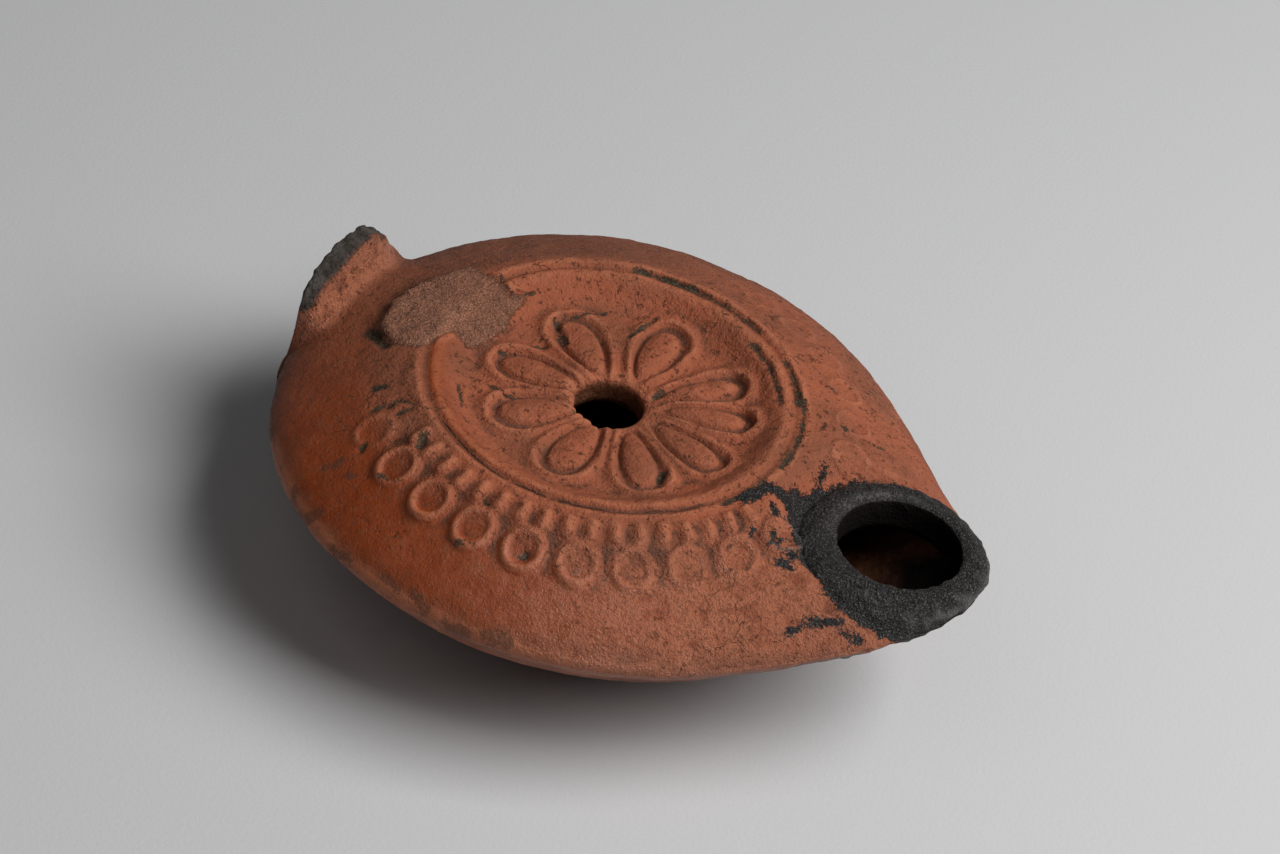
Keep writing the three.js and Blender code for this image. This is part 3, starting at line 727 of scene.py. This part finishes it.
def lampRelief(points, fields, outer):
    # how far each point moves out along its normal: the carving, less cracks, chips and pits, and the grain
    x, y, z = points.T
    r, bearing = np.hypot(x, y), np.degrees(np.arctan2(y, x))
    fine = roughNoise(points, surface["fineCell"], seeds["fine"])
    wear = roughNoise(points, surface["wearCell"], seeds["wear"])
    scarred = smoothStep(-surface["edge"], surface["edge"], fields["scar"])
    sooted = smoothStep(-surface["edge"], surface["edge"], fields["soot"])
    onTop = smoothStep(*surface["top"], z) * outer * (1 - scarred) * (1 - fields["inside"])
    start, soft = bowl["shoulder"], frieze["soft"]
    onShoulder = smoothStep(start - soft, start + soft, r) * (x < frieze["end"])
    onDish = smoothStep(*rosette["end"], r)
    worked = onDish * rosetteRelief(x, y) + onShoulder * friezeRelief(x, y)
    relief = onTop * (surface["reliefLeft"] + surface["reliefSwing"] * wear) * worked
    opened = grooveOpening(bearing, points) * onTop
    relief -= opened * surface["crack"] * np.exp(-(fields["groove"] / surface["crackWidth"]) ** 2)
    chips = smoothStep(*surface["chipEdge"], fields["dirt"] + surface["chipWander"] * fine)
    relief -= onTop * surface["chip"] * chips * (1 - surface["sootFill"] * sooted)
    pitShare = surface["pitLeast"] + surface["pitWorn"] * fields["worn"]
    pits = smoothStep(*surface["pitRarity"], fine) * pitShare
    relief -= surface["pits"] * pits * onTop * (1 - sooted)
    relief += surface["wobble"] * latticeNoise(points, surface["wobbleCell"], seeds["wobble"])
    relief += surface["dents"] * latticeNoise(points, surface["dentsCell"], seeds["dents"])
    grain = surface["grain"] * (1 - surface["slipSmooth"] * fields["slip"])
    grain = grain + surface["wornGrain"] * fields["worn"] + surface["sootGrain"] * sooted
    grain = grain + surface["scarGrain"] * np.maximum(scarred, fields["snapped"])
    grain = grain * (1 - surface["insideSmooth"] * fields["inside"])
    relief += grain * roughNoise(points, surface["grainCell"], seeds["grain"], 2)
    fields["opened"] = opened
    return relief * outer * smoothStep(*surface["foot"], z)


def hollowness(points, quads, normals):
    # how deep each point lies below its neighbours, along its normal, gently blurred
    pairs = np.concatenate([quads[:, [0, 1]], quads[:, [1, 2]], quads[:, [2, 3]], quads[:, [3, 0]]])
    count = np.bincount(pairs.ravel(), minlength=len(points))[:, None].clip(1)

    def spread(values):
        # each point's mean over its neighbours
        total = np.zeros_like(values)
        np.add.at(total, pairs[:, 0], values[pairs[:, 1]])
        np.add.at(total, pairs[:, 1], values[pairs[:, 0]])
        return total / count

    blurred = points
    for _ in range(surface["blurs"]):
        blurred = spread(blurred)
    depth = np.sum((blurred - points) * normals, axis=1, keepdims=True)
    for _ in range(surface["softens"]):
        depth = spread(depth)
    return depth[:, 0]


points, quads, fans, outer = lampForm()
print("lamp form:", len(points), "points,", 2 * len(quads) + len(fans), "triangles")
normals = pointNormals(points, quads, fans)
fields = lampFields(points, outer)
points = points + normals * lampRelief(points, fields, outer)[:, None]
normals = pointNormals(points, quads, fans)
fields["hollow"] = hollowness(points, quads, normals) * outer * smoothStep(*surface["stub"], points[:, 0])
print("relief carved:", {name: round(float(value.mean()), 3) for name, value in fields.items()})


def makeLamp(material):
    # the points and faces as a smooth-shaded mesh that carries the finish fields as attributes
    data = bpy.data.meshes.new("lamp_skin")
    data.from_pydata((points * millimetre).tolist(), [], quads.tolist() + fans.tolist())
    data.shade_smooth()
    for name, value in fields.items():
        data.attributes.new(name, "FLOAT", "POINT").data.foreach_set("value", value.astype(np.float32))
    data.materials.append(material)
    lamp = bpy.data.objects.new("lamp_skin", data)
    bpy.context.scene.collection.objects.link(lamp)
    return lamp


# colours; some hold light too: the slip's orange and the wick's near black are partly painted shade, russet
# also paints shade under the belly, and the ash grey also paints highlights
clay = {
    "red": (0.37, 0.098, 0.042), "orangeSlipAndShade": (0.25, 0.041, 0.005), "pink": (0.5, 0.165, 0.08),
    "brown": (0.2, 0.066, 0.031), "umber": (0.11, 0.04, 0.02), "russet": (0.105, 0.029, 0.009),
    "dirt": (0.026, 0.019, 0.012), "olive": (0.085, 0.058, 0.03), "break": (0.075, 0.062, 0.052),
    "scar": (0.34, 0.14, 0.08), "scarDark": (0.19, 0.08, 0.046), "scarLight": (0.52, 0.27, 0.175),
    "soot": (0.0075, 0.0068, 0.0063), "ashAndHighlight": (0.17, 0.158, 0.146),
    "inside": (0.2, 0.082, 0.043), "wickSootAndShade": (0.011, 0.009, 0.008),
}
# patterns of noise: size in millimetres, detail and roughness
patterns = {
    "patch": (11.0, 4.0, 0.55), "mottle": (2.2, 4.0, 0.65), "speck": (0.42, 3.0, 0.7),
    "grit": (0.19, 2.0, 0.6), "pores": (0.9, 4.0, 0.75), "cracking": (8.0, 3.0, 0.6),
    "bend": (2.4, 3.0, 0.6),
    "crackleSize": 4.6, "crackleBend": 3.4, "crackleWidth": 0.02,
}
# each layer's limits on its pattern or field: none at the first, all at the second, and how much all is
layers = {
    "brownPatch": (0.4, 0.68, 0.7), "agedPatch": (0.2, 0.45), "slipPatch": (0.2, 0.45),
    "wornPatch": (0.3, 0.55), "brownMottle": (0.5, 0.7, 0.5), "underPatch": (0.1, 0.45, 0.85),
    "raisedEdgeHighlight": (-0.012, -0.11, 0.6),
    "lightGrain": (0.45, 0.3), "darkGrain": (0.54, 0.66), "pore": (0.58, 0.68),
    "hollowDirtAndShade": (0.025, 0.12), "hollowPatch": (0.28, 0.5, 0.85), "cracking": (0.57, 0.66, 0.6),
    "rusty": (-0.1, 0.2, 0.7), "oliveSpeck": (0.46, 0.62), "marked": (0.0, 0.16, 0.95),
    "opened": (0.6, 0.9), "crackLine": (0.13, 0.03, 0.7),
    "scarred": (-0.2, 0.25, 0.9), "scarPatch": (0.38, 0.64), "scarSpark": (0.52, 0.64, 0.75),
    "scarPit": (0.46, 0.34, 0.8), "breakSpeck": (0.4, 0.58), "breakPatch": (0.4, 0.62),
    "breakDepth": (0.75, 1.15), "breakEdge": (0.6, 0.74),
    "sooty": (-0.1, 0.16), "ashSpeck": (0.54, 0.7, 0.3), "ashGrit": (0.55, 0.66, 0.8),
    "ashEdgeHighlight": (-0.05, -0.16, 0.5), "ashLipHighlight": (0.62, 0.36), "barePatch": (0.35, 0.65),
    "shine": (1.0, 0.0, 0.33),
}
# amounts: how far noise moves an edge, and the strength of grain, tone, polish and bump
amounts = {
    "mottleWander": 1.8, "speckWander": 2.2, "rustWander": 0.6, "markWander": 0.75, "scarWander": 0.6,
    "breakWander": 0.7, "deepWander": 0.14, "grooveWander": 0.5, "openedWander": 3.2,
    "grain": 0.3, "wornGrain": 0.5, "pores": 0.75, "slipPores": 0.5,
    "tone": 0.4, "speckTone": 0.7, "mottleTone": 0.5,
    "rough": 0.72, "slipPolish": 0.24, "wornPolish": 0.3, "wornShine": 0.22,
    "speckHeight": 0.9, "gritHeight": 0.4, "mottleHeight": 1.0, "fineHeight": 0.55, "coarseHeight": 0.85,
    "slipSmooth": 0.6, "cutDepth": 0.5, "bumpHeight": 0.00056,
}


class Nodes:
    # short calls that add nodes to one material and link them
    def __init__(self, tree):
        # starts from an empty tree
        self.tree = tree
        self.tree.nodes.clear()

    def add(self, kind, **inputs):
        # a node of this kind with its inputs fed; an underscore in an input's name stands for a space
        node = self.tree.nodes.new(kind)
        for name, value in inputs.items():
            self.feed(node.inputs[name.replace("_", " ")], value)
        return node

    def feed(self, socket, value):
        # a link from another socket, or a constant; a colour gets its fourth number here
        if isinstance(value, bpy.types.NodeSocket):
            self.tree.links.new(value, socket)
        elif isinstance(value, tuple) and socket.type == "RGBA":
            socket.default_value = (*value, 1)
        else:
            socket.default_value = value

    def field(self, name):
        # one of the finish fields, read from the mesh
        node = self.tree.nodes.new("ShaderNodeAttribute")
        node.attribute_name = name
        return node.outputs["Fac"]

    def noise(self, where, pattern, output="Fac"):
        # noise of a pattern: its size in millimetres, detail and roughness
        size, detail, rough = pattern
        scale = 1 / (size * millimetre)
        node = self.add("ShaderNodeTexNoise", Vector=where, Scale=scale, Detail=detail, Roughness=rough)
        return node.outputs[output]

    def ease(self, value, low, high, top=1.0):
        # cubic ease from 0 at low to top at high
        node = self.add("ShaderNodeMapRange", Value=value)
        node.interpolation_type = "SMOOTHSTEP"
        node.inputs["From Min"].default_value = low
        node.inputs["From Max"].default_value = high
        node.inputs["To Max"].default_value = top
        return node.outputs["Result"]

    def calc(self, operation, a, b):
        # one step of arithmetic on two values
        node = self.tree.nodes.new("ShaderNodeMath")
        node.operation = operation
        self.feed(node.inputs[0], a)
        self.feed(node.inputs[1], b)
        return node.outputs["Value"]

    def spread(self, value, width):
        # noise about 0, that wide
        return self.calc("MULTIPLY", self.calc("SUBTRACT", value, 0.5), width)

    def scale(self, value, amount):
        # a value times an amount
        return self.calc("MULTIPLY", value, amount)

    def bend(self, where, pattern, amount):
        # coordinates pushed about by noise
        node = self.tree.nodes.new("ShaderNodeVectorMath")
        node.operation = "MULTIPLY_ADD"
        self.feed(node.inputs[0], self.noise(where, pattern, "Color"))
        self.feed(node.inputs[1], (amount * millimetre,) * 3)
        self.feed(node.inputs[2], where)
        return node.outputs["Vector"]

    def crackle(self, where, size, width):
        # thin lines between cells
        node = self.add("ShaderNodeTexVoronoi", Vector=where, Scale=1 / (size * millimetre))
        node.feature = "DISTANCE_TO_EDGE"
        return self.ease(node.outputs["Distance"], width, 0.0)

    def mix(self, share, a, b, blend="MIX"):
        # colour a with a share of colour b over it
        node = self.tree.nodes.new("ShaderNodeMix")
        node.data_type = "RGBA"
        node.blend_type = blend
        self.feed(node.inputs["Factor"], share)
        first, second = (socket for socket in node.inputs if socket.type == "RGBA")
        self.feed(first, a)
        self.feed(second, b)
        return next(socket for socket in node.outputs if socket.type == "RGBA")


def clayColour(n, patterned, ragged):
    # patchy slip with painted shade on its near flank, painted shade low on the belly, painted highlights
    # on raised edges and grains, then dirt and painted shade in the hollows, cracks, stains and marks
    patch, mottle, speck = patterned["patch"], patterned["mottle"], patterned["speck"]
    worn, slip, hollow = n.field("worn"), n.field("slip"), n.field("hollow")
    colour = n.mix(n.ease(patch, *layers["brownPatch"]), clay["red"], clay["brown"])
    aged = n.calc("MULTIPLY", n.field("aged"), n.ease(patch, *layers["agedPatch"]))
    colour = n.mix(aged, colour, clay["brown"])
    # the slip's orange: its own colour, made darker as painted shade on the near flank that faces away from
    # the light
    colour = n.mix(n.calc("MULTIPLY", slip, n.ease(mottle, *layers["slipPatch"])), colour, clay["orangeSlipAndShade"])
    colour = n.mix(n.calc("MULTIPLY", worn, n.ease(mottle, *layers["wornPatch"])), colour, clay["pink"])
    colour = n.mix(n.ease(mottle, *layers["brownMottle"]), colour, clay["brown"])
    # painted shade: russet low on the belly, under the widest line
    low = n.calc("MULTIPLY", n.field("under"), n.ease(mottle, *layers["underPatch"]))
    colour = n.mix(low, colour, clay["russet"])
    # painted highlight: raised edges turn pink; grains stand out light and dark, and pores are dark
    colour = n.mix(n.ease(hollow, *layers["raisedEdgeHighlight"]), colour, clay["pink"])
    grainy = n.calc("ADD", n.scale(worn, amounts["wornGrain"]), amounts["grain"])
    colour = n.mix(n.calc("MULTIPLY", n.ease(speck, *layers["lightGrain"]), grainy), colour, clay["pink"])
    colour = n.mix(n.calc("MULTIPLY", n.ease(speck, *layers["darkGrain"]), grainy), colour, clay["umber"])
    unsealed = n.calc("SUBTRACT", amounts["pores"], n.scale(slip, amounts["slipPores"]))
    porous = n.calc("MULTIPLY", n.ease(patterned["pores"], *layers["pore"]), unsealed)
    colour = n.mix(porous, colour, clay["umber"])
    # hollows keep dirt, deepened with painted shade, and cracks keep dirt
    hollowDirtAndShade = n.ease(n.calc("ADD", hollow, n.spread(speck, amounts["deepWander"])), *layers["hollowDirtAndShade"])
    colour = n.mix(n.calc("MULTIPLY", hollowDirtAndShade, n.ease(mottle, *layers["hollowPatch"])), colour, clay["umber"])
    line = n.crackle(patterned["bent"], patterns["crackleSize"], patterns["crackleWidth"])
    line = n.calc("MULTIPLY", line, n.ease(patterned["cracking"], *layers["cracking"]))
    colour = n.mix(line, colour, clay["umber"])
    rusty = n.calc("ADD", n.field("rust"), n.scale(ragged, amounts["rustWander"]))
    rusty = n.ease(rusty, *layers["rusty"])
    colour = n.mix(rusty, colour, clay["umber"])
    black = n.mix(n.ease(speck, *layers["oliveSpeck"]), clay["dirt"], clay["olive"])
    marked = n.calc("ADD", n.field("dirt"), n.scale(ragged, amounts["markWander"]))
    marked = n.ease(marked, *layers["marked"])
    colour = n.mix(marked, colour, black)
    offGroove = n.calc("ADD", n.field("groove"), n.spread(mottle, amounts["grooveWander"]))
    opened = n.calc("ADD", n.field("opened"), n.spread(mottle, amounts["openedWander"]))
    onGroove = n.ease(n.calc("ABSOLUTE", offGroove, 0.0), *layers["crackLine"])
    cracked = n.calc("MULTIPLY", onGroove, n.ease(opened, *layers["opened"]))
    colour = n.mix(cracked, colour, clay["umber"])
    cut = n.calc("MAXIMUM", n.calc("MAXIMUM", line, cracked), n.calc("MAXIMUM", marked, porous))
    return colour, cut


def scarColour(n, mottle, grit):
    # broken clay with light and dark grit
    colour = n.mix(n.ease(mottle, *layers["scarPatch"]), clay["scar"], clay["scarDark"])
    colour = n.mix(n.ease(grit, *layers["scarSpark"]), colour, clay["scarLight"])
    return n.mix(n.ease(grit, *layers["scarPit"]), colour, clay["umber"])


def breakColour(n, mottle, speck, depth):
    # the stub's old break: speckled at its edge, darker within
    edge = n.mix(n.ease(speck, *layers["breakSpeck"]), clay["break"], clay["russet"])
    within = n.mix(n.ease(mottle, *layers["breakPatch"]), clay["break"], clay["dirt"])
    return n.mix(n.ease(depth, *layers["breakDepth"]), edge, within)


def sootColour(n, speck, grit):
    # black soot with ash in its grain, and grey on raised edges and along the lip's far side that is partly
    # ash and partly painted highlight
    colour = n.mix(n.ease(speck, *layers["ashSpeck"]), clay["soot"], clay["ashAndHighlight"])
    colour = n.mix(n.ease(grit, *layers["ashGrit"]), colour, clay["ashAndHighlight"])
    # painted highlight, partly ash: grey on the soot's raised edges
    colour = n.mix(n.ease(n.field("hollow"), *layers["ashEdgeHighlight"]), colour, clay["ashAndHighlight"])
    lipRubAndHighlight = n.calc("MULTIPLY", n.field("lipRubAndHighlight"), n.ease(speck, *layers["ashLipHighlight"]))
    return n.mix(lipRubAndHighlight, colour, clay["ashAndHighlight"])


def clayBump(n, patterned, coarse, cut):
    # fine grain, stronger on coarse clay, over a broader unevenness, smoothed by slip and cut by cracks
    speck = n.scale(patterned["speck"], amounts["speckHeight"])
    grit = n.scale(patterned["grit"], amounts["gritHeight"])
    strength = n.calc("ADD", n.scale(coarse, amounts["coarseHeight"]), amounts["fineHeight"])
    height = n.calc("MULTIPLY", n.calc("ADD", speck, grit), strength)
    height = n.calc("ADD", height, n.scale(patterned["mottle"], amounts["mottleHeight"]))
    smooth = n.calc("SUBTRACT", 1.0, n.scale(n.field("slip"), amounts["slipSmooth"]))
    height = n.calc("SUBTRACT", n.calc("MULTIPLY", height, smooth), n.scale(cut, amounts["cutDepth"]))
    return n.add("ShaderNodeBump", Height=height, Strength=1.0, Distance=amounts["bumpHeight"])


def clayFinish():
    # fired clay: worn slip, then the broken clay of the scar and the stub, soot, and the bare inside
    material = bpy.data.materials.new("fired_clay")
    material.use_nodes = True
    n = Nodes(material.node_tree)
    where = n.add("ShaderNodeTexCoord").outputs["Object"]
    names = ("patch", "mottle", "speck", "grit", "pores", "cracking")
    patterned = {name: n.noise(where, patterns[name]) for name in names}
    patterned["bent"] = n.bend(where, patterns["bend"], patterns["crackleBend"])
    mottle, speck, grit = patterned["mottle"], patterned["speck"], patterned["grit"]
    worn, slip, inside = n.field("worn"), n.field("slip"), n.field("inside")
    # millimetres that an edge wanders
    coarsely, finely = n.spread(mottle, amounts["mottleWander"]), n.spread(speck, amounts["speckWander"])
    ragged = n.calc("ADD", coarsely, finely)

    colour, cut = clayColour(n, patterned, ragged)
    scarred = n.calc("ADD", n.field("scar"), n.scale(ragged, amounts["scarWander"]))
    scarred = n.ease(scarred, *layers["scarred"])
    colour = n.mix(scarred, colour, scarColour(n, mottle, grit))
    snapped = n.calc("ADD", n.field("snapped"), n.scale(ragged, amounts["breakWander"]))
    colour = n.mix(n.ease(snapped, *layers["breakEdge"]), colour, breakColour(n, mottle, speck, snapped))
    sooty = n.ease(n.calc("ADD", n.field("soot"), ragged), *layers["sooty"])
    colour = n.mix(sooty, colour, sootColour(n, speck, grit))
    bare = n.mix(n.ease(mottle, *layers["barePatch"]), clay["inside"], clay["umber"])
    # the wick hole's wall near black: soot with painted shade
    colour = n.mix(inside, colour, n.mix(n.field("wickSootAndShade"), bare, clay["wickSootAndShade"]))
    tone = n.calc("ADD", n.scale(speck, amounts["speckTone"]), n.scale(mottle, amounts["mottleTone"]))
    colour = n.mix(1.0, colour, n.calc("ADD", tone, amounts["tone"]), "MULTIPLY")

    polish = n.calc("ADD", n.scale(slip, amounts["slipPolish"]), n.scale(worn, amounts["wornPolish"]))
    rough = n.calc("SUBTRACT", amounts["rough"], polish)
    shine = n.calc("ADD", n.ease(inside, *layers["shine"]), n.scale(worn, amounts["wornShine"]))
    coarse = n.calc("MAXIMUM", n.calc("MAXIMUM", scarred, sooty), worn)
    bump = clayBump(n, patterned, coarse, cut)
    shader = n.add("ShaderNodeBsdfPrincipled", Base_Color=colour, Roughness=rough, Specular_IOR_Level=shine,
                   Normal=bump.outputs["Normal"])
    n.add("ShaderNodeOutputMaterial", Surface=shader.outputs["BSDF"])
    return material


lamp = makeLamp(clayFinish())
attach(lamp, "root")
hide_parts("lamp_body")
print("lamp skin made:", len(lamp.data.polygons), "faces")

studio = {
    "floorSize": 3.0, "floorColour": (0.6, 0.6, 0.603), "floorRough": 0.9,
    "paperGrain": (0.6, 4.0, 0.7), "paperBump": 0.25, "paperHeight": 0.0002,
    "keyAt": (0.37, 0.092, 0.489), "keySize": 0.44, "keyPower": 4.35,
    "fillAt": (-0.16, -0.45, 0.64), "fillSize": 0.6, "fillPower": 0.42,
    "skyColour": (0.86, 0.88, 0.9), "skyStrength": 0.045, "lightAim": (0.0, 0.0, 0.015),
}


def makeFloor():
    # a wide sheet of pale paper under the lamp
    half = studio["floorSize"] / 2
    x, y = np.meshgrid([-half, half], [-half, half])
    corners = place(x, y, np.zeros_like(x)).reshape(-1, 3)
    data = bpy.data.meshes.new("paper_floor")
    data.from_pydata(corners.tolist(), [], [(0, 1, 3, 2)])
    material = bpy.data.materials.new("pale_paper")
    material.use_nodes = True
    n = Nodes(material.node_tree)
    where = n.add("ShaderNodeTexCoord").outputs["Object"]
    fibre = n.noise(where, studio["paperGrain"])
    bump = n.add("ShaderNodeBump", Height=fibre, Strength=studio["paperBump"],
                 Distance=studio["paperHeight"])
    shader = n.add("ShaderNodeBsdfPrincipled", Base_Color=studio["floorColour"],
                   Roughness=studio["floorRough"], Normal=bump.outputs["Normal"])
    n.add("ShaderNodeOutputMaterial", Surface=shader.outputs["BSDF"])
    data.materials.append(material)
    floor = bpy.data.objects.new("paper_floor", data)
    bpy.context.scene.collection.objects.link(floor)


def addLight(name, at, size, power):
    # a square soft light aimed at the lamp
    data = bpy.data.lights.new(name, "AREA")
    data.shape = "SQUARE"
    data.size = size
    data.energy = power
    light = bpy.data.objects.new(name, data)
    light.location = at
    light.rotation_euler = (Vector(studio["lightAim"]) - Vector(at)).to_track_quat("-Z", "Y").to_euler()
    bpy.context.scene.collection.objects.link(light)


makeFloor()
addLight("key_light", studio["keyAt"], studio["keySize"], studio["keyPower"])
addLight("fill_light", studio["fillAt"], studio["fillSize"], studio["fillPower"])
world = bpy.data.worlds.new("soft_sky")
world.use_nodes = True
world.node_tree.nodes["Background"].inputs["Color"].default_value = (*studio["skyColour"], 1)
world.node_tree.nodes["Background"].inputs["Strength"].default_value = studio["skyStrength"]
bpy.context.scene.world = world
bpy.context.scene.view_settings.view_transform = "Standard"

view = {
    "distance": 430.0, "lookAt": (0.0, 0.0, 27.0), "azimuth": 22.95, "elevation": 39.5, "roll": 10.9,
    "focal": 3704.0, "imageWidth": 1280, "imageHeight": 854, "discusPixel": (611.9, 384.5), "sensor": 36.0,
    "nearest": 0.01,
}


def makeCamera():
    # stands off the discus at the photograph's bearing, height and roll, and shifts it onto its pixel
    a, e = math.radians(view["azimuth"]), math.radians(view["elevation"])
    back = Vector((math.sin(a) * math.cos(e), -math.cos(a) * math.cos(e), math.sin(e)))
    target = Vector(view["lookAt"]) * millimetre
    data = bpy.data.cameras.new("camera")
    data.sensor_width = view["sensor"]
    data.lens = view["focal"] / view["imageWidth"] * view["sensor"]
    data.shift_x = (view["imageWidth"] / 2 - view["discusPixel"][0]) / view["imageWidth"]
    data.shift_y = (view["discusPixel"][1] - view["imageHeight"] / 2) / view["imageWidth"]
    data.clip_start = view["nearest"]
    camera = bpy.data.objects.new("camera", data)
    turn = (-back).to_track_quat("-Z", "Y").to_matrix().to_4x4()
    camera.matrix_world = (Matrix.Translation(target + back * view["distance"] * millimetre) @ turn
                           @ Matrix.Rotation(math.radians(view["roll"]), 4, "Z"))
    bpy.context.scene.collection.objects.link(camera)
    bpy.context.scene.camera = camera


makeCamera()
